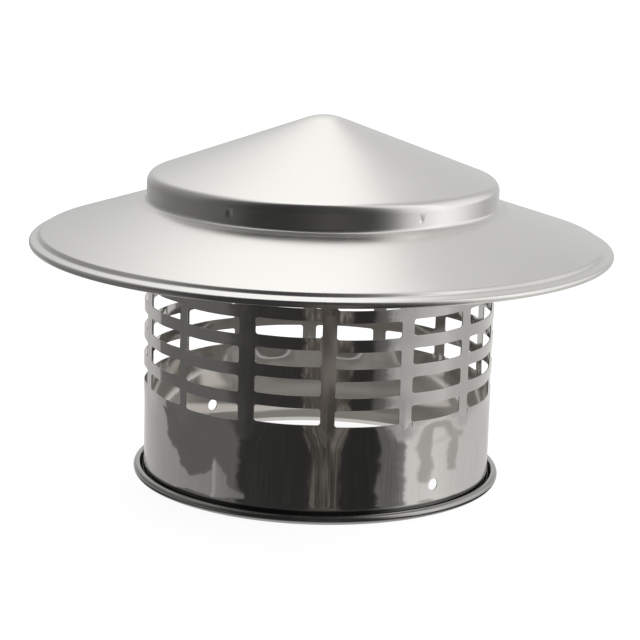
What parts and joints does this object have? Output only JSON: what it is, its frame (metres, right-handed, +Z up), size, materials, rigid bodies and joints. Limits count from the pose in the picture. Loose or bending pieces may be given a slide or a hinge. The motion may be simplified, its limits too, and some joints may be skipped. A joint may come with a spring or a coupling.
{
  "type": "chimney cap",
  "caption": "Round steel chimney cap: a slotted collar with a curled foot under a low conical hat with a wide sloping brim.",
  "frame": {"origin": "centre of the circle on which the collar's curled foot stands", "axes": "+Z up along the axis of the collar, towards the apex of the hat; -Y is the side that faces the camera"},
  "size_m": [0.2498, 0.2498, 0.1566],
  "materials": {
    "polished_steel": "mirror polished stainless sheet",
    "satin_steel": "satin stainless sheet"
  },
  "bodies": {
    "root": {"collar": "polished_steel", "hat": "satin_steel"}
  },
  "joints": []
}
